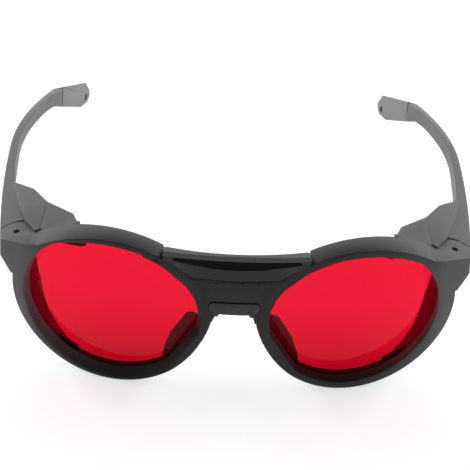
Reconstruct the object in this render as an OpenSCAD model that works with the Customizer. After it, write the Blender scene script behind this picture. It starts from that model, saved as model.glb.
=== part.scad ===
// Laser safety glasses: one moulded front, two filter lenses, clip-on bridge and side
// shields, a soft nose pad and two folding temples. Millimetres, +Z up, front faces -Y.

/* [Front] */
// Radius of the wrap of the front face, seen from above
wrap_r = 180; // [140:1:260]
// Depth of the rims from front to back
rim_depth = 8; // [7:0.1:9]
// Radius of the rim's lower and outer edge
rim_r = 30.8; // [29.5:0.1:32]
// Radius of the flatter arc along the rim's top
brow_r = 37; // [36:0.1:40]
// Fall of the rim's top towards the back, degrees
brow_fall = 5; // [0:1:14]
// Distance from the centre of the front to the middle of a rim
eye_x = 38.6; // [37:0.1:41]
// Height of the bridge's lower edge above the ground
bridge_z = 32.9; // [31:0.1:34]
// Drop from the brow to the top of the bridge under its cover
bridge_drop = 5.8; // [5:0.1:7]
// Reach of a rim towards the nose, from the middle of its lens
nose_reach = 29.05; // [28:0.05:30]
// Radius of the rim's outline along the nose
nose_r = 38; // [34:0.5:46]

/* [Lenses] */
// Radius of the lens opening
lens_r = 26.6; // [25:0.1:27]
// Thickness of a lens
lens_t = 2; // [1.5:0.1:2.2]
// Depth from the front face to the front of the lens
lens_set = 3.8; // [2.5:0.1:4]
// How far the lens reaches into the groove of the rim
lens_bite = 0.9; // [0.5:0.1:1.1]

/* [Bridge shield] */
// Half of the bridge shield's width
brow_half = 22.4; // [20:0.1:24]
// How far the brow stands out in front of the front face
brow_out = 3; // [2:0.1:4]
// Height of the brow's front edge above the ground
brow_top = 55.2; // [54:0.1:56]
// Thickness of the skin of the bridge shield
brow_skin = 1.8; // [1.2:0.1:2.2]

/* [Nose pad] */
// Thickness of the soft lining along the nose opening
pad_t = 1.2; // [0.9:0.1:1.6]
// Length of a nose wing along the nose
wing_len = 21.6; // [16:0.2:24]
// Reach of a nose wing behind the rim
wing_reach = 9.8; // [6:0.2:12]
// Thickness of a nose wing
wing_t = 2; // [1.5:0.1:2.6]
// Outward flare of a nose wing, degrees
wing_flare = 12; // [0:1:30]

/* [Temples] */
// Downward slope of the temples towards the back, degrees
slope = 10.8; // [6:0.2:12]
// Length of the straight-topped arm from the hinge to its widest place
arm_front = 68; // [60:1:74]
// Radius of the arm's gentle front curve
arm_r1 = 640; // [560:5:720]
// Radius of the arm's rear curve
arm_r2 = 120; // [110:1:130]
// Turn of the rear curve up to the elbow, degrees
elbow_turn = 24; // [21:0.1:26]
// Thickness of the arm at its middle
arm_t = 2.9; // [2.6:0.1:4]
// Height of the temple at the hinge
root_h = 11; // [10:0.1:12]
// Height of the arm at its slimmest place
arm_h = 4.3; // [3.5:0.1:6]
// Turn of the tip in plan, degrees
tip_turn = 13.8; // [9:0.1:20]
// Thickness of the temple tip
tip_t = 3.8; // [3.2:0.1:5]
// Extra downward angle of the tip, degrees
tip_drop = 17.4; // [15:0.1:24]
// Radius of the leash hole in the temple tip
leash_r = 1.3; // [1:0.1:1.5]

/* [Hinges] */
// Distance of a hinge axis from the centre of the front
hinge_x = 68.4; // [68:0.1:69]
// Radius of the hinge ears of the front
lug_r = 5.57; // [5.3:0.01:5.8]
// Radius of the tongue of the temple
tongue_r = 3.6; // [3.2:0.1:3.8]
// Height of the tongue of the temple
tongue_h = 3.8; // [3:0.1:4.4]
// Radius of the hinge screw's shank
screw_r = 1; // [0.8:0.05:1.1]
// Radius of the hinge screw's head
head_r = 1.9; // [1.6:0.05:2.1]
// Wall of the bush in the tongue
bush_wall = 0.8; // [0.6:0.05:1]
// Wall of the threaded insert in the upper ear
insert_wall = 0.7; // [0.5:0.05:0.9]

/* [Side shields] */
// Thickness of the upper side shield
shield_t = 1.1; // [0.9:0.1:1.3]
// Thickness of the lower side shield
lower_t = 1.8; // [1.4:0.1:2.2]
// Inward lean of the lower side shield, degrees
lower_lean = 20; // [12:0.5:24]
// Radius of the pegs that hold the side shields
peg_r = 0.6; // [0.5:0.05:0.8]

/* [Fits] */
// Clearance round the lens, the clip-on covers and the soft pad
fit = 0.05; // [0.03:0.01:0.1]
// Running clearance of the hinge screw, as a radius
run_fit = 0.04; // [0.02:0.01:0.08]
// Gap between the front and a temple at the hinge
hinge_gap = 0.35; // [0.25:0.05:0.5]

/* [Hidden] */
$fn = 96;
fine = 720;

// Middle of the whole depth, from the brow to the rear of the tips
centre_y = 80.24;
// Heights of the centres of the rim's two arcs
rim_z = rim_r;
brow_z = brow_top + 0.3 - brow_r;
bridge_top = brow_top - bridge_drop;
// Centre of the lens opening and of the flat towards the nose
lens_x = eye_x - 1;
lens_z = rim_z - 1.5;
nose_dir = 210.5;
nose_shift = -1.5;
lens_flat = 25.2;
lens_wall = 2.6;
groove_r = lens_bite + fit;
pocket_top = rim_z + 7.2;
clip_dirs = [-10, -59, -135];
clip_half = 7;
big = 100;

// Hinge place in the front's frame, and the tilt of the slanting tops
hinge_y = 20.8;
hinge_z = 43.54;
top_rise = 0.35;
top_tilt = atan(top_rise);
arm_out = 77.2 - hinge_x;
skin_deep = 16;
root_in = -1.9;
relief_v = -1;
plate_out = 0.9;
plate_in = 0.9;
brow_slant = 0.4;
brow_low = brow_top - 3.1;
plate_low = brow_top - 10.3;
tab_deep = 1.2;
lining_from = 1.6;
wing_low = 3.3;
joint_lap = 0.4;
joint_step = 0.05;

// Levels along the hinge axis
ear_bottom = -root_h;
tongue_low = ear_bottom + 3.5;
tongue_top = tongue_low + tongue_h;
ear_gap = 0.1;
head_h = 1.2;
head_low = ear_bottom + 0.3;
insert_h = 2.6;

// Bottom line of the temple along its length
fall_from = 12;
slim_at = 84;
function temple_depth(v) =
    arm_h + (root_h - arm_h) * (1 + cos(180 * (v - fall_from) / (slim_at - fall_from))) / 2;

// Corners of the upper side shield, along the temple and along its free edge
edge_1 = [71.5, 50.6, brow_top - 13.4];
edge_2 = [67.85, 32.9, brow_top - 9.8];
edge_3 = [65.3, 24.8];
edge_4 = [61.1, 17.9, brow_top - 6.6];
free_1 = [70.3, 49.2];
free_2 = [64.8, 40.8, brow_top - 8.3];
free_3 = [59.5, 30.9, brow_top - 5.8];
free_4 = [50.7, 21];
free_5 = [48.2, 13.6, brow_top - 1.6];

// Ends and lower edge of the upper side shield's foot, behind the rim
foot_in = 46.2;
foot_out = 59.2;
foot_low = brow_top - 11.2;
foot_t = 1.4;
lip_from = 19.25;
lip_t = 1.2;

// Moves a shape from the front's frame to the part's frame
module placed() {
    translate([0, -centre_y, 0]) children();
}

// Copies a shape to both sides
module both() {
    children();
    mirror([1, 0, 0]) children();
}

// Puts a shape drawn for the left side on the right side
module other_side() {
    mirror([1, 0, 0]) children();
}

// Extrudes an outline drawn in X and Z along Y
module prism(y0, y1) {
    translate([0, y1, 0]) rotate([90, 0, 0]) linear_extrude(height = y1 - y0) children();
}

// Curved shell between two depths behind the front face
module wrap_shell(front, back) {
    translate([0, wrap_r, -10]) difference() {
        cylinder(r = wrap_r - front, h = big, $fn = fine);
        translate([0, 0, -1]) cylinder(r = wrap_r - back, h = big + 2, $fn = fine);
    }
}

// Everything on the far side of a plane through three points
module beyond(a, b, c, size = 60) {
    n = cross(b - a, c - a);
    translate(a) rotate([0, acos(n.z / norm(n)), atan2(n.y, n.x)])
        translate([-size / 2, -size / 2, 0]) cube([size, size, size / 2]);
}

// Temple frame: origin on the hinge, v back along the sloping temple, w up from it
module hinge_frame() {
    translate([hinge_x, hinge_y, hinge_z]) rotate([-slope, 0, 0]) children();
}

// Upright frame of a hinge axis, so that a folded temple slopes under the other one
module axis_frame() {
    translate([hinge_x, hinge_y, hinge_z]) children();
}

// Everything on the lens side of a flat towards the nose
module nose_side(distance) {
    rotate(nose_dir) translate([distance - 2 * big, -big]) square(2 * big);
}

// Outline of one rim without the flatter top
module rim_disc(inset = 0) {
    intersection() {
        translate([eye_x, rim_z]) circle(r = rim_r - inset);
        translate([lens_x, lens_z]) rotate(nose_dir) translate([nose_reach - nose_r, nose_shift])
            circle(r = nose_r - inset);
    }
}

// Space under the flatter top, which falls to the back
module rim_top(inset = 0) {
    translate([eye_x + 0.6, 4, brow_z + brow_r]) rotate([-brow_fall, 0, 0]) translate([0, 0, -brow_r])
        rotate([-90, 0, 0]) translate([0, 0, -30]) cylinder(r = brow_r - inset, h = 90);
}

// Solid rim form between two depths, with the flatter top falling to the back
module rim_form(front, back, inset = 0) {
    intersection() {
        wrap_shell(front, back);
        prism(-5, 45) rim_disc(inset);
        rim_top(inset);
    }
}

// Outline of the lens opening, grown into the groove for the lens
module lens_area(grow = 0) {
    intersection() {
        translate([lens_x, lens_z]) circle(r = lens_r + grow);
        translate([lens_x, lens_z]) nose_side(lens_flat + grow);
    }
}

// Space of the lens opening, with a top that falls to the back as the rim's does
module lens_space(grow = 0) {
    intersection() {
        prism(-10, 45) lens_area(grow);
        rim_top(lens_wall - grow);
    }
}

// Sector of the rim that a snap clip takes up
module clip_sector(direction) {
    translate([lens_x, lens_z]) rotate(direction) polygon([[0, 0], [big, -big * tan(clip_half)],
        [big, big * tan(clip_half)]]);
}

// Pocket behind the lens, open at the rear below its top, with the snap clips left standing
module lens_pocket() {
    intersection() {
        wrap_shell(lens_set, rim_depth + 2);
        lens_space(groove_r);
        prism(-5, 45) difference() {
            translate([0, -2]) square([2 * eye_x, pocket_top + 2]);
            for (a = clip_dirs) clip_sector(a);
        }
    }
}

// Groove that holds the lens
module lens_groove() {
    intersection() {
        wrap_shell(lens_set - fit, lens_set + lens_t + fit);
        lens_space(groove_r);
    }
}

// Outline of the bridge between the rims
module bridge_area() {
    polygon([[-24, bridge_top + 0.1], [-24, 40], [-9, 29.5], [-7.2, 30.6], [-5.6, bridge_z], [5.6, bridge_z],
        [7.2, 30.6], [9, 29.5], [24, 40], [24, bridge_top + 0.1], [16, bridge_top + 1], [-16, bridge_top + 1]]);
}

// Front lip along the top of the nose opening, in front of the soft lining
module nose_lip() {
    intersection() {
        wrap_shell(0, lining_from);
        prism(-5, 10) both() polygon([[-5, bridge_z + 1], [-5.6, bridge_z], [-6.75, bridge_z - 2.6],
            [-7.15, bridge_z - 5.6], [-8.1, bridge_z - 8.9], [-9.35, bridge_z - 12.3], [-12, bridge_z - 15.9],
            [-14, bridge_z - 8], [-12, bridge_z + 1]]);
    }
}

// Solid form of the bridge shield from the top of the brow down to its seam
module brow_form(grow = 0) {
    difference() {
        intersection() {
            translate([0, wrap_r, 0]) rotate_extrude($fn = fine) polygon([
                [wrap_r + plate_out + grow, 40], [wrap_r + plate_out + grow, brow_top - 4.7 - grow],
                [wrap_r + brow_out + grow, brow_top - 3.8 - grow], [wrap_r + brow_out + grow, brow_top + grow],
                [wrap_r - 10, brow_top - brow_slant * (10 + brow_out) + grow], [wrap_r - 10, 40]]);
            prism(-10, 12) polygon([
                [-brow_half - grow, brow_top + 5], [-brow_half - grow, brow_top - 3.3 - grow],
                [-18.4, brow_top - 6.2 - grow], [-13.8, plate_low + 0.6 - grow], [-9.4, plate_low + 0.4 - grow],
                [0, plate_low - grow], [9.4, plate_low + 0.4 - grow], [13.8, plate_low + 0.6 - grow],
                [18.4, brow_top - 6.2 - grow], [brow_half + grow, brow_top - 3.3 - grow],
                [brow_half + grow, brow_top + 5]]);
        }
        intersection() {
            wrap_shell(-10, -plate_out - grow);
            prism(-12, 12) polygon([[-25, brow_top + 0.8], [-brow_half, brow_top - 0.2], [-14, brow_low + 0.8 - grow],
                [-8, brow_low + 0.2 - grow], [0, brow_low - grow], [8, brow_low + 0.2 - grow],
                [14, brow_low + 0.8 - grow], [brow_half, brow_top - 0.2], [25, brow_top + 0.8], [25, 40], [-25, 40]]);
        }
    }
}

// What the bridge shield clips over
module brow_core(shrink = 0) {
    translate([0, wrap_r, 0]) rotate_extrude($fn = fine) polygon([
        [wrap_r - plate_in - shrink, 30],
        [wrap_r - plate_in - shrink, brow_top - brow_slant * (plate_in + brow_out) - brow_skin - shrink],
        [wrap_r - 11, brow_top - brow_slant * (11 + brow_out) - brow_skin - shrink], [wrap_r - 11, 30]]);
}

// Curved rear face of the bridge and its cover
module bridge_back() {
    translate([0, 4.5 + 64, 30]) cylinder(r = 64, h = 40);
}

// Outline of the pad's front tab, with round shoulders
module tab_area(grow = 0) {
    polygon([[-6.2, bridge_z + 3.8 + grow], [-7.9 - grow, bridge_z + 2.1], [-7.9 - grow, bridge_z + 1],
        [-5.6 - grow, bridge_z - 1.9], [5.6 + grow, bridge_z - 1.9], [7.9 + grow, bridge_z + 1],
        [7.9 + grow, bridge_z + 2.1], [6.2, bridge_z + 3.8 + grow]]);
    both() translate([-6.2, bridge_z + 2.1]) circle(r = 1.7 + grow);
}

// Slanting outer skin of the front half of an arm and of the end piece
module front_skin(v0, v1, low) {
    intersection() {
        translate([arm_out - arm_r1, arm_front, 0]) rotate_extrude($fn = fine) polygon([
            [arm_r1 - skin_deep, low], [arm_r1, low], [arm_r1, 0], [arm_r1 - skin_deep, top_rise * skin_deep]]);
        translate([-skin_deep, v0, low - 1]) cube([2 * skin_deep, v1 - v0, 40]);
    }
}

// Plan of the end piece with its round hinge ears
module ear_plan() {
    polygon([[-9, -14], [9, -14], [9, 1.04], [2.9, 4.6], [0, 0], [-5, relief_v - 0.6], [-9, relief_v - 0.6]]);
    circle(r = lug_r);
}

// Low shoulder that carries the top of the end piece into the rim
module shoulder() {
    intersection() {
        hinge_frame() front_skin(-16, 2, ear_bottom);
        wrap_shell(0, rim_depth);
        axis_frame() translate([-14.5, -16, -30]) cube([6.5, 20, 40]);
    }
}

module end_piece() {
    difference() {
        shoulder();
        beyond([62.2, 11, 47.4], [72.8, 15.4, 44.6], [68.4, 20.8, 44.9]);
    }
    difference() {
        intersection() {
            hinge_frame() front_skin(-14, 8, ear_bottom);
            axis_frame() translate([0, 0, -30]) linear_extrude(height = 40) ear_plan();
            translate([0, wrap_r, 0]) cylinder(r = wrap_r, h = 60, $fn = fine);
        }
        beyond([62.2, 11, 47.4], [72.8, 15.4, 44.6], [68.4, 20.8, 44.9]);
        beyond([63.5, 11.6, 46.9], [72.5, 15.2, 38.6], [72.8, 17.2, 44.2]);
        beyond([72.6, 15, 38.8], [69.3, 14, 32.6], [73.4, 25.5, 33]);
    }
}

// Space that a temple sweeps through when it folds
module temple_sweep() {
    difference() {
        hinge_frame() translate([-40, relief_v, ear_bottom - 0.7]) cube([40.5, 30, root_h + 3.3]);
        axis_frame() translate([0, 0, -20]) cylinder(r = lug_r, h = 30);
    }
}

// Slot between the ears for the tongue
module tongue_slot() {
    axis_frame() translate([0, 0, tongue_low - ear_gap]) linear_extrude(height = tongue_h + 2 * ear_gap) {
        circle(r = tongue_r + 0.3);
        polygon([[0, 0], [12 * cos(38), 12 * sin(38)], [9, 14], [-12, 14], [-12, -12 * tan(17)]]);
    }
}

module hinge_holes() {
    axis_frame() {
        translate([0, 0, -20]) cylinder(r = screw_r + run_fit, h = 30);
        translate([0, 0, -20]) cylinder(r = head_r + 0.1, h = 20 + head_low + head_h);
        translate([0, 0, tongue_top]) cylinder(r = screw_r + insert_wall + 0.02, h = insert_h + ear_gap);
    }
}

// Places of the pegs that hold the side shields, in X and Z
upper_pegs = [[51, brow_top - 5.1], [56.5, brow_top - 7.9]];
lower_pegs = [for (a = [-40, -14]) [eye_x + (rim_r - 1.5) * cos(a), rim_z + (rim_r - 1.5) * sin(a)]];
upper_peg = 0.9;
lower_peg = 2.2;

// Pegs from a depth inside the rim to its rear
module pegs(places, long, r, back) {
    for (p = places) {
        y = wrap_r - sqrt(pow(wrap_r - rim_depth, 2) - p.x * p.x);
        translate([p.x, y - long, p.y]) rotate([-90, 0, 0]) cylinder(r = r, h = long + back);
    }
}

module frame_front() {
    color("dimgray") placed() difference() {
        union() {
            both() rim_form(0, rim_depth);
            intersection() {
                wrap_shell(0, rim_depth);
                prism(-5, 45) bridge_area();
            }
            nose_lip();
            both() end_piece();
        }
        both() lens_space();
        both() lens_groove();
        both() lens_pocket();
        difference() {
            brow_form(fit);
            brow_core(fit);
        }
        intersection() {
            bridge_back();
            translate([-brow_half, 0, 30]) cube([2 * brow_half, 20, 30]);
        }
        intersection() {
            wrap_shell(-1, tab_deep);
            prism(-5, 5) tab_area(fit);
        }
        pad_lining(fit);
        both() temple_sweep();
        both() tongue_slot();
        both() hinge_holes();
        both() pegs(upper_pegs, upper_peg, peg_r + fit, 3);
        both() pegs(lower_pegs, lower_peg, peg_r + fit, 3);
    }
}

module lens() {
    color("crimson") placed() intersection() {
        wrap_shell(lens_set, lens_set + lens_t);
        lens_space(lens_bite);
    }
}

module bridge_shield() {
    color("gray") placed() difference() {
        brow_form();
        brow_core();
        bridge_back();
        both() lens_groove();
    }
}

// One nose wing behind the rim, flaring out and back from the nose
module nose_wing() {
    translate([lens_x, 0, lens_z]) rotate([0, 360 - nose_dir, 0])
        translate([nose_reach - 2.55, rim_depth - 0.2, 0]) rotate([0, 0, wing_flare])
        rotate([0, 90, 0]) linear_extrude(height = wing_t) intersection() {
            translate([-wing_len, 0]) square([wing_len * 2, wing_reach]);
            translate([-wing_low, 0]) circle(r = wing_len / 2);
        }
}

// Soft lining along the nose opening, behind the front lip
module pad_lining(grow = 0) {
    intersection() {
        wrap_shell(lining_from - grow, 9);
        prism(-5, 16) difference() {
            polygon([[-5.6 - grow, bridge_z + grow], [-8.2 - grow, bridge_z - 3.3], [-18.6, bridge_z - 20.7],
                [-16, bridge_z - 23.7], [-8.4, bridge_z - 14.9], [-6.4, bridge_z - 4.9], [-5.2, bridge_z - pad_t],
                [5.2, bridge_z - pad_t], [6.4, bridge_z - 4.9], [8.4, bridge_z - 14.9], [16, bridge_z - 23.7],
                [18.6, bridge_z - 20.7], [8.2 + grow, bridge_z - 3.3], [5.6 + grow, bridge_z + grow]]);
            rim_disc(pad_t + grow);
            mirror([1, 0]) rim_disc(pad_t + grow);
        }
        prism(-5, 16) union() {
            rim_disc();
            mirror([1, 0]) rim_disc();
            translate([-8.2, bridge_z - 5.9]) square([16.4, 20]);
        }
    }
}

module nose_pad() {
    color("slategray") placed() difference() {
        union() {
            pad_lining();
            intersection() {
                wrap_shell(-0.3, tab_deep - fit);
                prism(-5, 5) tab_area();
            }
            intersection() {
                wrap_shell(0, 8);
                prism(-5, 12) polygon([[-5.3, bridge_z - fit], [-5.3, bridge_z - pad_t],
                    [5.3, bridge_z - pad_t], [5.3, bridge_z - fit]]);
            }
            both() nose_wing();
        }
        difference() {
            both() rim_form(-5, rim_depth + fit);
            pad_lining(fit);
        }
    }
}

// Flat facet of a plan outline, with its top on a plane through three points
module facet(outline, a, b, c) {
    n = cross(b - a, c - a);
    intersection() {
        translate([0, 0, 30]) linear_extrude(height = 30) polygon([for (p = outline) [p.x, p.y]]);
        translate(a) rotate([0, acos(n.z / norm(n)), atan2(n.y, n.x)])
            translate([-60, -60, -shield_t]) cube([120, 120, shield_t]);
    }
}

// Upper side shield: three facets over the hinge, on a foot behind the rim
module side_shield_upper() {
    color("gray") placed() difference() {
        union() {
            facet([edge_1, free_1, free_2, edge_2], edge_1, free_2, edge_2);
            facet([edge_2, free_2, free_3, edge_4, edge_3], edge_2, free_2, free_3);
            facet([edge_4, free_3, free_4, free_5], edge_4, free_3, free_5);
            difference() {
                intersection() {
                    wrap_shell(rim_depth, rim_depth + foot_t);
                    prism(0, 40) polygon([[foot_in, foot_low + 6], [foot_in, foot_low + 1.2], [foot_in + 1.6, foot_low + 0.4],
                        [foot_in + 9, foot_low], [foot_out, foot_low], [foot_out, foot_low + 20],
                        [foot_in + 2.1, foot_low + 20], [foot_in + 2.1, foot_low + 6]]);
                }
                beyond(edge_4, free_3, free_5);
            }
            difference() {
                translate([foot_out - 0.8, lip_from, foot_low + 2]) cube([4.2, lip_t, 6]);
                beyond(edge_4, free_3, free_5);
                beyond(edge_2, free_2, free_3);
            }
            pegs(upper_pegs, upper_peg, peg_r, 0.4);
        }
        difference() {
            wrap_shell(-5, rim_depth);
            pegs(upper_pegs, upper_peg, peg_r, 0.4);
        }
        temple_sweep();
    }
}

// Lower side shield: a leaning wall behind the rim, below the temple
module side_shield_lower() {
    color("gray") placed() difference() {
        union() {
            intersection() {
                translate([eye_x + rim_r, 20, 0]) rotate([0, 0, lower_lean]) translate([-eye_x - rim_r, -20, 0])
                    prism(-5, 45) difference() {
                        rim_disc(0.2);
                        rim_disc(0.2 + lower_t);
                    }
                translate([48.2, 0, -1]) cube([40, 45, 40]);
            }
            intersection() {
                wrap_shell(rim_depth, rim_depth + 1.2);
                prism(0, 30) difference() {
                    intersection() {
                        rim_disc(0.2);
                        translate([48, -1]) square([30, 30]);
                    }
                    rim_disc(2.6);
                }
            }
            pegs(lower_pegs, lower_peg, peg_r, 0.4);
        }
        difference() {
            wrap_shell(-40, rim_depth);
            pegs(lower_pegs, lower_peg, peg_r, 0.4);
        }
        beyond([64, 27, 24.8], [57.7, 23.1, 11], [48.3, 14.6, 3.5], 120);
        hinge_frame() translate([-60, -20, ear_bottom - 0.7]) cube([90, 60, 40]);
    }
}

// Bottom and end of the temple, seen from the side
module temple_side() {
    polygon(concat(
        [[-10, 20], [-10, -root_h]],
        [for (v = [fall_from : 6 : slim_at]) [v, -temple_depth(v)]],
        [[110.5, -arm_h], [137.5, -15.8], [144.7, -16.71], [147, -16], [148, -14.4], [147.6, -12.8],
        [144, -9.1], [139.1, 0], [139.1, 20]]));
}

// Plan of what the hinge ears keep clear of the temple
module ear_clearance() {
    circle(r = lug_r + hinge_gap);
    polygon([[0, 0], [2.95, 4.6 + hinge_gap * 1.15], [9, 1.04 + hinge_gap * 1.17], [16, -3], [16, -9],
        [-8, -9], [-8, 0]]);
}

// Front half of the arm with its root
module arm_root() {
    intersection() {
        front_skin(-5, arm_front, -30);
        translate([0, 0, -30]) linear_extrude(height = 50) polygon([[root_in, -4], [root_in, 7.5], [0.6, 16.6],
            [3.6, 31.8], [5.4, 49], [arm_out - arm_t, arm_front], [14, arm_front], [14, -4]]);
    }
}

// Rear half of the arm, a ring sector from the widest place to the elbow
module arm_rear() {
    translate([arm_out - arm_r2, arm_front, 0]) intersection() {
        rotate_extrude($fn = fine) polygon([[arm_r2 - arm_t, -30], [arm_r2, -30], [arm_r2, 0],
            [arm_r2 - arm_t, top_rise * arm_t]]);
        translate([0, 0, -31]) linear_extrude(height = 60)
            polygon([[0, 0], [arm_r2 + 20, 0], [arm_r2 + 20, (arm_r2 + 20) * tan(elbow_turn)]]);
    }
}

// Elbow frame: x outward, y along the tip, at the outer edge of the arm
module elbow_frame() {
    translate([arm_out - arm_r2 * (1 - cos(elbow_turn)), arm_front + arm_r2 * sin(elbow_turn), 0])
        rotate([0, 0, elbow_turn]) children();
}

// Flat tip behind the elbow, sunk a hair into the arm so that the two are one
module arm_tip() {
    elbow_frame() translate([-joint_step, 0, -joint_step]) rotate([0, 0, tip_turn - elbow_turn]) intersection() {
        translate([-tip_t, -joint_lap, -30]) cube([tip_t, 50, 50]);
        rotate([0, top_tilt, 0]) translate([-30, -15, -60]) cube([60, 80, 60]);
        rotate([-tip_drop, top_tilt, 0]) translate([-30, -15, -60]) cube([60, 80, 60]);
    }
}

module temple() {
    color("gray") placed() difference() {
        union() {
            difference() {
                hinge_frame() intersection() {
                    union() {
                        arm_root();
                        arm_rear();
                        arm_tip();
                    }
                    rotate([90, 0, 90]) translate([0, 0, -60]) linear_extrude(height = 90) temple_side();
                }
                axis_frame() translate([0, 0, -30]) linear_extrude(height = 50) ear_clearance();
            }
            axis_frame() translate([0, 0, tongue_low]) linear_extrude(height = tongue_h) {
                circle(r = tongue_r);
                translate([root_in + 0.1, 0]) square([4.4, 7.6]);
            }
        }
        axis_frame() translate([0, 0, -20]) cylinder(r = screw_r + run_fit + bush_wall + 0.02, h = 30);
        hinge_frame() elbow_frame() rotate([0, 0, tip_turn - elbow_turn]) translate([-20, 27.9, -13.9])
            rotate([0, 90, 0]) cylinder(r = leash_r, h = 40);
    }
}

module hinge_screw() {
    color("silver") placed() axis_frame() {
        translate([0, 0, head_low]) cylinder(r = head_r, h = head_h);
        translate([0, 0, head_low + head_h / 2]) cylinder(r = screw_r, h = tongue_top + insert_h - head_low - head_h / 2);
    }
}

module hinge_insert() {
    color("goldenrod") placed() axis_frame() translate([0, 0, tongue_top + ear_gap]) difference() {
        cylinder(r = screw_r + insert_wall, h = insert_h);
        translate([0, 0, -1]) cylinder(r = screw_r + 0.02, h = insert_h + 2);
    }
}

module hinge_bush() {
    color("goldenrod") placed() axis_frame() translate([0, 0, tongue_low]) difference() {
        cylinder(r = screw_r + run_fit + bush_wall, h = tongue_h);
        translate([0, 0, -1]) cylinder(r = screw_r + run_fit, h = tongue_h + 2);
    }
}

frame_front();
lens();  // lens_left
other_side() lens();  // lens_right
bridge_shield();
nose_pad();
side_shield_upper();  // side_shield_upper_left
other_side() side_shield_upper();  // side_shield_upper_right
side_shield_lower();  // side_shield_lower_left
other_side() side_shield_lower();  // side_shield_lower_right
temple();  // temple_left
other_side() temple();  // temple_right
hinge_screw();  // hinge_screw_left
other_side() hinge_screw();  // hinge_screw_right
hinge_insert();  // hinge_insert_left
other_side() hinge_insert();  // hinge_insert_right
hinge_bush();  // hinge_bush_left
other_side() hinge_bush();  // hinge_bush_right
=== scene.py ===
import math
import bmesh
import bpy
from mathutils import Matrix, Vector
from mathutils.bvhtree import BVHTree


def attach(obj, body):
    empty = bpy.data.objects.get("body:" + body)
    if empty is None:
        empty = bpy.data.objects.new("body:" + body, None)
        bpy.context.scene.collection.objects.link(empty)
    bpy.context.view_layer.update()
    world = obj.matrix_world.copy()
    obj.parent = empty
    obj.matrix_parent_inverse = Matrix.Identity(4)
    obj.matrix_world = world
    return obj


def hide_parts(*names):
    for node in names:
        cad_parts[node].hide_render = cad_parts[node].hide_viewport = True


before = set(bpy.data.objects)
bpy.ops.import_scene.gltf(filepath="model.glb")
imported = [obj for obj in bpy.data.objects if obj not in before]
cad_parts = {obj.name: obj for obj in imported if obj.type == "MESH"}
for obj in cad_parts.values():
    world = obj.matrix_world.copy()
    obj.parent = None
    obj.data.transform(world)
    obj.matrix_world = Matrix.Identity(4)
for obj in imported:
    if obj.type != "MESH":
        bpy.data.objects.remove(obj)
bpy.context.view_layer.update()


# The stand: a pale matt table, lit like a small product booth. A wide lamp hangs over
# the temples, two large panels stand at the sides, and the camera looks down at the
# front from the place of the photograph.
def blank_finish(name):
    finish = bpy.data.materials.new(name)
    finish.use_nodes = True
    nodes = finish.node_tree.nodes
    place = nodes.new("ShaderNodeTexCoord")
    return finish, nodes, finish.node_tree.links, nodes["Principled BSDF"], place.outputs["Object"]


def cloud_pattern(nodes, links, place, scale, detail=2.0):
    cloud = nodes.new("ShaderNodeTexNoise")
    cloud.inputs["Scale"].default_value = scale
    cloud.inputs["Detail"].default_value = detail
    links.new(place, cloud.inputs["Vector"])
    return cloud


def colour_between(nodes, links, drive, stops):
    tone = nodes.new("ShaderNodeValToRGB")
    stop_list = tone.color_ramp.elements
    for stop, (spot, colour) in ((stop_list[0], stops[0]), (stop_list[1], stops[-1])):
        stop.position = spot
        stop.color = colour + (1.0,)
    for spot, colour in stops[1:-1]:
        stop_list.new(spot).color = colour + (1.0,)
    links.new(drive, tone.inputs["Fac"])
    return tone.outputs["Color"]


table_white, nodes, links, shell, place = blank_finish("table_white")
shell.inputs["Roughness"].default_value = 0.9
shell.inputs["Specular IOR Level"].default_value = 0.1
shell.inputs["Emission Color"].default_value = (1.0, 1.0, 1.0, 1.0)
shell.inputs["Emission Strength"].default_value = 0.62
mottle = cloud_pattern(nodes, links, place, scale=9.0, detail=6.0)
chalk_white = colour_between(nodes, links, mottle.outputs["Fac"], (
    (0.0, (0.58, 0.58, 0.58)), (1.0, (0.61, 0.61, 0.61))))
links.new(chalk_white, shell.inputs["Base Color"])

table_half = 3.0
table_drop = 0.0004
bm = bmesh.new()
bmesh.ops.create_grid(bm, x_segments=2, y_segments=2, size=table_half)
table_mesh = bpy.data.meshes.new("table_top")
bm.to_mesh(table_mesh)
bm.free()
table_mesh.materials.append(table_white)
table_top = bpy.data.objects.new("table_top", table_mesh)
table_top.location = (0.0, 0.0, -table_drop)
bpy.context.scene.collection.objects.link(table_top)

booth = bpy.data.worlds.new("white_booth")
booth.use_nodes = True
booth.node_tree.nodes["Background"].inputs["Color"].default_value = (1.0, 1.0, 1.0, 1.0)
booth.node_tree.nodes["Background"].inputs["Strength"].default_value = 0.35
bpy.context.scene.world = booth


def hang_lamp(name, place, aim, width, height, watts):
    lamp = bpy.data.lights.new(name, "AREA")
    lamp.shape = "RECTANGLE"
    lamp.size = width
    lamp.size_y = height
    lamp.energy = watts
    holder = bpy.data.objects.new(name, lamp)
    holder.location = place
    holder.rotation_euler = (Vector(aim) - Vector(place)).to_track_quat("-Z", "Y").to_euler()
    bpy.context.scene.collection.objects.link(holder)


bridge_spot = (0.0, 0.0, 0.03)
hang_lamp("back_lamp", (0.0, 0.8, 0.42), bridge_spot, width=1.2, height=0.5, watts=4.0)
hang_lamp("left_panel", (-0.8, 0.35, 0.42), bridge_spot, width=0.6, height=0.5, watts=6.0)
hang_lamp("right_panel", (0.8, 0.35, 0.42), bridge_spot, width=0.6, height=0.5, watts=6.0)

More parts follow.
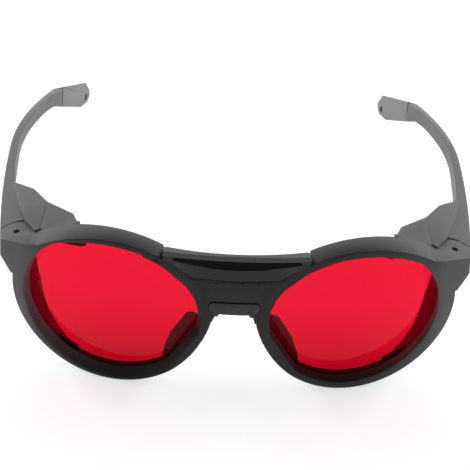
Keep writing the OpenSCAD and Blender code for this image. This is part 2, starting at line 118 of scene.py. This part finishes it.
scene = bpy.context.scene
scene.view_settings.view_transform = "Standard"
tilt = math.radians(38.0)
swing = math.radians(-1.62)
roll = math.radians(3.34)
aim = Vector((-0.00037, -0.05424, 0.0429))
camera_distance = 0.6
back = Vector((math.sin(swing) * math.cos(tilt), -math.cos(swing) * math.cos(tilt), math.sin(tilt)))
level = (-back).cross(Vector((0.0, 0.0, 1.0))).normalized()
upward = level.cross(-back)
across = level * math.cos(roll) + upward * math.sin(roll)
upright = upward * math.cos(roll) - level * math.sin(roll)
camera_eye = bpy.data.cameras.new("photo_camera")
camera_eye.sensor_width = 36.0
camera_eye.lens = 146.17
camera_eye.clip_start = 0.01
photo_camera = bpy.data.objects.new("photo_camera", camera_eye)
turn = Matrix((across, upright, back)).transposed().to_4x4()
photo_camera.matrix_world = Matrix.Translation(aim + back * camera_distance) @ turn
scene.collection.objects.link(photo_camera)
scene.camera = photo_camera


# The front: one injection moulding in dark gray nylon with a fine sparked grain, painted
# paler over the end pieces as a highlight, its front edges slightly broken. Each eye opening
# widens forwards in a shallow funnel, and a small fill rounds its top corner beside the nose.
def remapped(nodes, links, value, source=(0.0, 1.0), target=(0.0, 1.0), blend="LINEAR"):
    span = nodes.new("ShaderNodeMapRange")
    span.interpolation_type = blend
    span.inputs["From Min"].default_value = source[0]
    span.inputs["From Max"].default_value = source[1]
    span.inputs["To Min"].default_value = target[0]
    span.inputs["To Max"].default_value = target[1]
    links.new(value, span.inputs["Value"])
    return span.outputs["Result"]


def combined(nodes, links, operation, first, second):
    total = nodes.new("ShaderNodeMath")
    total.operation = operation
    links.new(first, total.inputs[0])
    links.new(second, total.inputs[1])
    return total.outputs["Value"]


def moulded_nylon(name, dark, pale, rough, grain, painted_sheen=None):
    plastic, nodes, links, shell, place = blank_finish(name)
    shell.inputs["IOR"].default_value = 1.5
    shell.inputs["Specular IOR Level"].default_value = 0.26
    cloud = cloud_pattern(nodes, links, place, scale=45.0, detail=5.0)
    cloud.inputs["Roughness"].default_value = 0.6
    surface = colour_between(nodes, links, cloud.outputs["Fac"], (
        (0.3, (dark, dark, dark * 1.03)), (0.75, (pale, pale, pale * 1.03))))
    if painted_sheen is not None:
        # Painted sheen: the colour fades to a paler grey outwards from the middle and towards the
        # back.
        sheen_grey, reach_x, reach_y = painted_sheen
        axes = nodes.new("ShaderNodeSeparateXYZ")
        links.new(place, axes.inputs["Vector"])
        outward = nodes.new("ShaderNodeMath")
        outward.operation = "ABSOLUTE"
        links.new(axes.outputs["X"], outward.inputs[0])
        spread = remapped(nodes, links, outward.outputs["Value"], reach_x, blend="SMOOTHSTEP")
        behind = remapped(nodes, links, axes.outputs["Y"], reach_y, blend="SMOOTHSTEP")
        fade = nodes.new("ShaderNodeMix")
        fade.data_type = "RGBA"
        fade.inputs["B"].default_value = (sheen_grey, sheen_grey, sheen_grey * 1.03, 1.0)
        links.new(combined(nodes, links, "MAXIMUM", spread, behind), fade.inputs["Factor"])
        links.new(surface, fade.inputs["A"])
        surface = fade.outputs["Result"]
    links.new(surface, shell.inputs["Base Color"])
    sheen = remapped(nodes, links, cloud.outputs["Fac"], target=(rough - 0.05, rough + 0.07))
    links.new(sheen, shell.inputs["Roughness"])
    pits = cloud_pattern(nodes, links, place, scale=5200.0)
    dimple = nodes.new("ShaderNodeTexVoronoi")
    dimple.inputs["Scale"].default_value = 2600.0
    links.new(place, dimple.inputs["Vector"])
    soft_edge = nodes.new("ShaderNodeBevel")
    soft_edge.samples = 8
    soft_edge.inputs["Radius"].default_value = 0.0003
    bump = nodes.new("ShaderNodeBump")
    bump.inputs["Strength"].default_value = grain
    bump.inputs["Distance"].default_value = 0.00003
    sparked = combined(nodes, links, "ADD", pits.outputs["Fac"], dimple.outputs["Distance"])
    links.new(sparked, bump.inputs["Height"])
    links.new(soft_edge.outputs["Normal"], bump.inputs["Normal"])
    links.new(bump.outputs["Normal"], shell.inputs["Normal"])
    return plastic


def casting(node):
    bm = bmesh.new()
    bm.from_mesh(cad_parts[node].data)
    bmesh.ops.remove_doubles(bm, verts=bm.verts, dist=2e-6)
    bmesh.ops.dissolve_limit(bm, angle_limit=math.radians(0.5), verts=bm.verts, edges=bm.edges,
                             use_dissolve_boundaries=False, delimit=set())
    return bm


def sharp_edges(bm, angle, shortest=0.0, convex_only=False):
    return [edge for edge in bm.edges
            if edge.is_manifold and edge.calc_face_angle(0.0) > math.radians(angle)
            and edge.calc_length() > shortest and (edge.is_convex or not convex_only)]


def break_edges(bm, edges, radius):
    # A corner that the bevel throws off the old surface is put back on it.
    stray = 0.6 * radius
    wall = BVHTree.FromBMesh(bm)
    bmesh.ops.bevel(bm, geom=edges, offset=radius, offset_type="OFFSET", segments=2, profile=0.5,
                    affect="EDGES", clamp_overlap=False, material=-1)
    for vert in bm.verts:
        spot, slope, face, gap = wall.find_nearest(vert.co)
        if gap > stray:
            vert.co = spot
    bmesh.ops.triangulate(bm, faces=bm.faces)


def fit_over(node, name, bm, body, finishes, smooth_to=32.0):
    mesh = bpy.data.meshes.new(name)
    for edge in bm.edges:
        edge.smooth = not edge.is_manifold or edge.calc_face_angle(0.0) < math.radians(smooth_to)
    for face in bm.faces:
        face.smooth = True
    bm.to_mesh(mesh)
    bm.free()
    for finish in finishes:
        mesh.materials.append(finish)
    piece = bpy.data.objects.new(name, mesh)
    bpy.context.scene.collection.objects.link(piece)
    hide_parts(node)
    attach(piece, body)


def loft(rings):
    # A flat disc is drawn out once for each further ring, then each loop takes its place.
    bm = bmesh.new()
    first = bmesh.ops.create_circle(bm, cap_ends=True, segments=len(rings[0]), radius=1.0)["verts"]
    first = sorted(first, key=lambda vert: math.atan2(vert.co.y, vert.co.x))
    order = [(round(vert.co.x, 5), round(vert.co.y, 5)) for vert in first]
    loops = [first]
    for ring in rings[1:]:
        rim = [edge for edge in bm.edges if all(vert in loops[-1] for vert in edge.verts)]
        grown = bmesh.ops.extrude_edge_only(bm, edges=rim)["geom"]
        fresh = [item for item in grown if isinstance(item, bmesh.types.BMVert)]
        fresh.sort(key=lambda vert: order.index((round(vert.co.x, 5), round(vert.co.y, 5))))
        loops.append(fresh)
    bmesh.ops.contextual_create(bm, geom=loops[-1])
    for loop, ring in zip(loops, rings):
        for vert, spot in zip(loop, ring):
            vert.co = spot
    bmesh.ops.recalc_face_normals(bm, faces=bm.faces)
    mesh = bpy.data.meshes.new("loft")
    bm.to_mesh(mesh)
    bm.free()
    solid = bpy.data.objects.new("loft", mesh)
    bpy.context.scene.collection.objects.link(solid)
    return solid


def sculpt(bm, steps):
    # The steps join or cut the piece with their solids, in order, and use them up.
    mesh = bpy.data.meshes.new("blank")
    bm.to_mesh(mesh)
    bm.free()
    blank = bpy.data.objects.new("blank", mesh)
    bpy.context.scene.collection.objects.link(blank)
    for operation, tool in steps:
        cut = blank.modifiers.new("cut", "BOOLEAN")
        cut.operation = operation
        cut.solver = "EXACT"
        cut.object = tool
    seen = bpy.context.evaluated_depsgraph_get()
    bm = bmesh.new()
    bm.from_mesh(blank.evaluated_get(seen).to_mesh())
    bpy.data.objects.remove(blank)
    for operation, tool in steps:
        bpy.data.objects.remove(tool)
    return bm


wrap = 0.18
face_y = -0.08024
eye_x, eye_z, eye_r = 0.0376, 0.0293, 0.0266
nose_flat = 0.0252
nose_turn = math.radians(210.5)
brow_arc_x, brow_arc_z = 0.0016, -0.0108
brow_arc_power = 0.0010642


def on_face(x, z, depth):
    return (x, face_y + wrap - math.sqrt((wrap - depth) ** 2 - x * x), z)


def depth_behind(point):
    return wrap - math.hypot(point.x, wrap - (point.y - face_y))


def opening_reach(angle):
    # A circle, cut flat towards the nose and by the wider arc under the brow.
    reach = eye_r
    towards_nose = math.cos(angle - nose_turn)
    if towards_nose > 0.1:
        reach = min(reach, nose_flat / towards_nose)
    along = -brow_arc_x * math.cos(angle) - brow_arc_z * math.sin(angle)
    return min(reach, -along + math.sqrt(along * along + brow_arc_power))


def funnel_plug(side):
    # Narrower under the brow and beside the nose, where the rim has less room for it.
    depths_and_growths = ((-0.002, 0.0026), (0.0, 0.0017), (0.0014, 0.001), (0.0027, 0.00045),
                          (0.0042, -0.0002), (0.006, -0.0009))
    corners = 160
    thin_brow = 0.6
    nose_corner = math.radians(155.0)
    rings = []
    for depth, growth in depths_and_growths:
        ring = []
        for step in range(corners):
            angle = math.radians(360.0 / corners * step)
            top = max(0.0, math.sin(angle)) ** 2
            if math.cos(angle) < 0.0:
                top = max(top, max(0.0, math.cos(angle - nose_corner)) ** 2)
            reach = opening_reach(angle) + growth * (1.0 - thin_brow * top if growth > 0.0 else 1.0)
            x = eye_x + reach * math.cos(angle)
            ring.append(on_face(side * x, eye_z + reach * math.sin(angle), depth))
        rings.append(ring)
    return loft(rings)


def corner_fill(side):
    first_turn, sweep, corners = 112.0, 66.0, 40
    middle, spread = 146.0, 15.0
    thick, taper, grip, shy = 0.0011, 0.25, 0.0009, 0.0001
    rings = []
    for depth in (0.00005, 0.0008, 0.0016, 0.0024):
        inner, outer = [], []
        for step in range(corners + 1):
            angle = math.radians(first_turn + sweep * step / corners)
            edge = opening_reach(angle)
            bulge = math.exp(-((math.degrees(angle) - middle) / spread) ** 2)
            fill = thick * bulge - shy + taper * depth * bulge
            for ring, reach in ((inner, edge - fill), (outer, edge + grip)):
                x = eye_x + reach * math.cos(angle)
                ring.append(on_face(side * x, eye_z + reach * math.sin(angle), depth))
        rings.append(inner + outer[::-1])
    return loft(rings)


# Painted highlight: paler outwards over the end pieces and towards the back.
front_nylon = moulded_nylon("front_nylon", dark=0.0095, pale=0.013, rough=0.48, grain=0.25,
                            painted_sheen=(0.095, (0.054, 0.068), (-0.077, -0.062)))
bm = sculpt(casting("frame_front"), [
    ("DIFFERENCE", funnel_plug(1.0)), ("DIFFERENCE", funnel_plug(-1.0)),
    ("UNION", corner_fill(1.0)), ("UNION", corner_fill(-1.0))])
lip_depth = 0.0006
lip = [edge for edge in sharp_edges(bm, angle=24.0, shortest=0.0002)
       if all(depth_behind(vert.co) < lip_depth for vert in edge.verts)]
break_edges(bm, lip, radius=0.00022)
fit_over("frame_front", "front_moulding", bm, "front", [front_nylon])

# The lenses: polished red filter plastic, 2 mm thick, dyed through its whole depth, with
# painted shade that makes the red a little deeper towards the cheek. The ground edge sits in the
# rim's groove.
filter_red, nodes, links, shell, place = blank_finish("filter_red")
shell.inputs["Transmission Weight"].default_value = 1.0
shell.inputs["IOR"].default_value = 1.17
shell.inputs["Roughness"].default_value = 0.03
flow = cloud_pattern(nodes, links, place, scale=18.0, detail=3.0)
axes = nodes.new("ShaderNodeSeparateXYZ")
links.new(place, axes.inputs["Vector"])
# Painted shade: the red darkens lower down the lens.
height = remapped(nodes, links, axes.outputs["Z"], (0.004, 0.054))
cloudy = nodes.new("ShaderNodeMath")
cloudy.operation = "MULTIPLY_ADD"
cloudy.inputs[1].default_value = 0.08
links.new(flow.outputs["Fac"], cloudy.inputs[0])
links.new(height, cloudy.inputs[2])
shade_graded_red = colour_between(nodes, links, cloudy.outputs["Value"], (
    (0.06, (0.42, 0.002, 0.012)), (0.28, (0.62, 0.003, 0.018)),
    (0.58, (0.74, 0.005, 0.028)), (1.0, (0.76, 0.006, 0.029))))
links.new(shade_graded_red, shell.inputs["Base Color"])
ripple = nodes.new("ShaderNodeBump")
ripple.inputs["Strength"].default_value = 0.05
ripple.inputs["Distance"].default_value = 0.0001
links.new(flow.outputs["Fac"], ripple.inputs["Height"])
links.new(ripple.outputs["Normal"], shell.inputs["Normal"])

# Painted shade: the lens's edge faces are near black, as the shade in the rim's groove, mottled by
# scuffs.
ground_edge_in_shade, nodes, links, shell, place = blank_finish("ground_edge_in_shade")
shell.inputs["Roughness"].default_value = 0.85
shell.inputs["Specular IOR Level"].default_value = 0.1
scuff = cloud_pattern(nodes, links, place, scale=900.0)
scuffs_in_shade = colour_between(nodes, links, scuff.outputs["Fac"], (
    (0.0, (0.008, 0.002, 0.003)), (1.0, (0.02, 0.003, 0.005))))
links.new(scuffs_in_shade, shell.inputs["Base Color"])

polished_facing = 0.6
for side in ("left", "right"):
    bm = casting("lens_" + side)
    break_edges(bm, sharp_edges(bm, angle=40.0), radius=0.00015)
    bm.normal_update()
    for face in bm.faces:
        if abs(face.normal.y) < polished_facing:
            face.material_index = 1
    fit_over("lens_" + side, "filter_lens_" + side, bm, "front", [filter_red, ground_edge_in_shade])

# The bridge shield: a cover in smooth dark nylon that clips on over the bridge. Its brow
# overhangs a crescent hollow, whose foot leans forward towards either end, and the seam
# between the plate and the front is a narrow groove; the hollow and the groove are painted
# near black as shade.
cover_nylon = moulded_nylon("cover_nylon", dark=0.011, pale=0.015, rough=0.46, grain=0.2)
seam_shade = moulded_nylon("seam_shade", dark=0.0006, pale=0.001, rough=0.7, grain=0.2)
seam_shade.node_tree.nodes["Principled BSDF"].inputs["Specular IOR Level"].default_value = 0.05
foot_line = ((0.0, 0.0503), (0.008, 0.0506), (0.014, 0.0519), (0.0198, 0.0539), (0.0225, 0.055),
             (0.03, 0.055))
plate_line = ((0.0, 0.0449), (0.0074, 0.0452), (0.0138, 0.0455), (0.0205, 0.0505), (0.0225, 0.052),
              (0.03, 0.052))
foot_back, foot_swing = 0.00092, 0.00208
lean_from, lean_over = 0.01, 0.0124
lip_top = 0.0552
lip_front = 0.003
plate_rise = 0.0008
plate_root, plate_front = 0.0004, 0.00091
seam_below = 0.0003
seam_from, seam_to = -0.0012, -0.0006
hollow_depth, groove_depth = -0.00094, -0.00086


def height_at(x, line):
    for (x0, z0), (x1, z1) in zip(line, line[1:]):
        if x0 <= abs(x) <= x1:
            return z0 + (z1 - z0) * (abs(x) - x0) / (x1 - x0)


def brow_block(spare, reach, outline):
    half_steps = 28
    rings = []
    for step in range(-half_steps, half_steps + 1):
        x = reach * step / half_steps
        ahead = min(1.0, max(0.0, (abs(x) - lean_from) / lean_over))
        lean = foot_back + foot_swing * ahead * ahead * (3.0 - 2.0 * ahead) - spare
        rings.append([on_face(x, z, -out) for out, z in outline(x, lean, height_at(x, foot_line))])
    return loft(rings)


def under_lip(x, lean, foot):
    below = foot - 0.0001
    inside, past = 0.00297, 0.006
    return ((inside, lip_top), (lean, foot), (lean, below), (past, below), (past, lip_top))


def leaning_face(x, lean, foot):
    plate = height_at(x, plate_line) + plate_rise
    return ((plate_root, plate), (plate_front, plate), (lean, foot), (lip_front, lip_top),
            (plate_root, lip_top))


undercut = brow_block(spare=0.00003, reach=0.024, outline=under_lip)
new_face = brow_block(spare=0.0, reach=0.0224, outline=leaning_face)
bm = sculpt(casting("bridge_shield"), [("UNION", new_face), ("DIFFERENCE", undercut)])
bm.normal_update()
seam = []
for edge in sharp_edges(bm, angle=35.0, shortest=0.0003):
    spots = [vert.co for vert in edge.verts]
    low = all(spot.z < height_at(spot.x, foot_line) - seam_below for spot in spots)
    if low and all(seam_from < depth_behind(spot) < seam_to for spot in spots):
        seam.append(edge)
break_edges(bm, seam, radius=0.0004)
bm.normal_update()
# Painted shade: faces under the brow and in the seam groove take the near-black seam_shade.
for face in bm.faces:
    centre = face.calc_center_median()
    above_foot = centre.z > height_at(centre.x, foot_line) + 0.0001
    under_brow = face.normal.z < -0.2 and depth_behind(centre) < hollow_depth and above_foot
    in_groove = face.normal.z < 0.4 and depth_behind(centre) > groove_depth
    if under_brow or in_groove:
        face.material_index = 1
fit_over("bridge_shield", "bridge_cover", bm, "front", [cover_nylon, seam_shade],
         smooth_to=14.0)

# The side shields: four thin clip-on covers, an upper and a lower one behind each rim, in
# a nylon painted paler as sheen, the lower ones paler still as painted reflection of the
# pale floor. The upper ones are let out along a skirt that closes the seam over the
# temple, and the lower ones lean in at the rear.
# Painted sheen: the upper covers' nylon is paler than the front's.
sheen_painted_shield_nylon = moulded_nylon("sheen_painted_shield_nylon", dark=0.085, pale=0.105, rough=0.5, grain=0.4)
# Painted reflection of the floor: the lower covers' nylon is paler still.
floor_sheen_painted_nylon = moulded_nylon("floor_sheen_painted_nylon", dark=0.19, pale=0.22, rough=0.5, grain=0.4)
skirt = ((-0.0556, 0.0652), (-0.0541, 0.0657), (-0.0473, 0.0679), (-0.031, 0.0703), (-0.0295, 0.0715))
skirt_band, skirt_out = 0.00025, 0.0009
skirt_front, skirt_lift = -0.05, 0.0003
sill_x, sill_y, sill_z = 0.0515, -0.0597, 0.0478
sill_start, sill_run, sill_drop = 0.0505, 0.004, 0.0011
corner_x, corner_y, corner_z = 0.0615, -0.0595, 0.0455
corner_forward, corner_out = 0.0009, 0.0003
lean_in = 0.003
lean_start, lean_run = -0.062, 0.007
lean_foot, lean_height, lean_least = 0.008, 0.014, 0.3


def let_out_skirt(vert):
    # The outer edge moves out, the front sill down, and the front corner forward.
    for (y0, x0), (y1, x1) in zip(skirt, skirt[1:]):
        share = (vert.co.y - y0) / (y1 - y0)
        if 0.0 <= share <= 1.0 and abs(abs(vert.co.x) - x0 - (x1 - x0) * share) < skirt_band:
            vert.co.x += math.copysign(skirt_out, vert.co.x)
            if vert.co.y < skirt_front:
                vert.co.z += skirt_lift
            break
    x = abs(vert.co.x)
    if x > sill_x and vert.co.y < sill_y and vert.co.z > sill_z:
        vert.co.z -= sill_drop * min(1.0, (x - sill_start) / sill_run)
    if x > corner_x and vert.co.y < corner_y and vert.co.z > corner_z:
        vert.co.y -= corner_forward
        vert.co.x += math.copysign(corner_out, vert.co.x)


def lean_rear(vert):
    rear = min(1.0, max(0.0, (vert.co.y - lean_start) / lean_run))
    high = min(1.0, max(lean_least, (vert.co.z - lean_foot) / lean_height))
    vert.co.x -= math.copysign(lean_in * rear * high, vert.co.x)


levels = (("upper", let_out_skirt, sheen_painted_shield_nylon), ("lower", lean_rear, floor_sheen_painted_nylon))
for side in ("left", "right"):
    for level, reshape, finish in levels:
        node = "side_shield_" + level + "_" + side
        bm = casting(node)
        for vert in bm.verts:
            reshape(vert)
        rim = sharp_edges(bm, angle=30.0, shortest=0.0006, convex_only=True)
        break_edges(bm, rim, radius=0.0002)
        fit_over(node, level + "_side_cover_" + side, bm, "front", [finish])

# The nose pad: soft matt rubber moulded round the nose opening, duller than the nylon,
# with its wings painted paler as a highlight. The middle of its front tab stands 1 mm higher,
# and a dark seam of painted shade runs where it meets the front.
# Painted highlight: the pad turns paler towards the back, over its wings.
pad_rubber = moulded_nylon("pad_rubber", dark=0.036, pale=0.044, rough=0.68, grain=0.35,
                           painted_sheen=(0.13, (1.0, 2.0), (-0.075, -0.067)))
tab_half, tab_slope_half = 0.0043, 0.005
tab_top, tab_rise = 0.0318, 0.001
join_from, join_to, join_low = -0.00027, 0.0013, 0.0312
bm = casting("nose_pad")
for x in (-tab_slope_half, -tab_half, tab_half, tab_slope_half):
    bmesh.ops.bisect_plane(bm, geom=list(bm.verts) + list(bm.edges) + list(bm.faces), dist=1e-7,
                           plane_co=(x, 0.0, 0.0), plane_no=(1.0, 0.0, 0.0))
for vert in bm.verts:
    if abs(vert.co.x) < tab_half + 0.0001 and vert.co.z < tab_top:
        vert.co.z += tab_rise
break_edges(bm, sharp_edges(bm, angle=35.0, shortest=0.0006), radius=0.0003)
bm.normal_update()
# Painted shade: faces along the join with the front take the near-black seam_shade.
for face in bm.faces:
    centre = face.calc_center_median()
    joined = join_from < depth_behind(centre) < join_to and centre.z > join_low
    if joined and face.normal.y > -0.8:
        face.material_index = 1
fit_over("nose_pad", "soft_nose_pad", bm, "front", [pad_rubber, seam_shade])

# The temples: moulded arms in satin nylon, painted paler as sheen, and paler still towards the flat
# tips as a painted highlight.
# The inner side of each runs down to the elbow in a slight ramp, without a step.
# Painted sheen: the arms are paler than the front, and paler still towards the tips.
sheen_painted_temple_nylon = moulded_nylon("sheen_painted_temple_nylon", dark=0.075, pale=0.09, rough=0.46, grain=0.25,
                             painted_sheen=(0.165, (1.0, 2.0), (0.01, 0.068)))
elbow_start, elbow_end, elbow_turn = 0.0445, 0.0546, 0.0525
elbow_step, elbow_run = 0.0013, 0.0073
inner_x, inner_y, inner_slope = 0.06905, 0.0451, 0.39
elbow_inner_x = 0.06325
for side in ("left", "right"):
    bm = casting("temple_" + side)
    for vert in bm.verts:
        x, y = abs(vert.co.x), vert.co.y
        if elbow_start < y < elbow_end and x < inner_x - (y - inner_y) * inner_slope:
            ramp = x - elbow_step * (y - elbow_start) / elbow_run
            if y > elbow_turn:
                ramp = min(x, elbow_inner_x)
            vert.co.x = math.copysign(ramp, vert.co.x)
    rim = sharp_edges(bm, angle=30.0, shortest=0.0006, convex_only=True)
    break_edges(bm, rim, radius=0.00035)
    fit_over("temple_" + side, "temple_arm_" + side, bm, "temple_" + side, [sheen_painted_temple_nylon],
             smooth_to=20.0)


# The hinges: a plain steel screw up through the ears, a turned brass insert that its
# thread grips in the upper ear, and a brass bush in the temple's tongue.
def turned_metal(name, colour, rough):
    metal, nodes, links, shell, place = blank_finish(name)
    shell.inputs["Metallic"].default_value = 1.0
    rings = cloud_pattern(nodes, links, place, scale=1500.0)
    tone = colour_between(nodes, links, rings.outputs["Fac"], (
        (0.0, tuple(0.85 * part for part in colour)), (1.0, colour)))
    links.new(tone, shell.inputs["Base Color"])
    sheen = remapped(nodes, links, rings.outputs["Fac"], target=(rough - 0.06, rough + 0.06))
    links.new(sheen, shell.inputs["Roughness"])
    return metal


def dress(node, finish):
    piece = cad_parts[node]
    piece.data.materials.clear()
    piece.data.materials.append(finish)


screw_steel = turned_metal("screw_steel", colour=(0.55, 0.55, 0.56), rough=0.32)
hinge_brass = turned_metal("hinge_brass", colour=(0.68, 0.5, 0.24), rough=0.3)
for side in ("left", "right"):
    dress("hinge_screw_" + side, screw_steel)
    dress("hinge_insert_" + side, hinge_brass)
    dress("hinge_bush_" + side, hinge_brass)
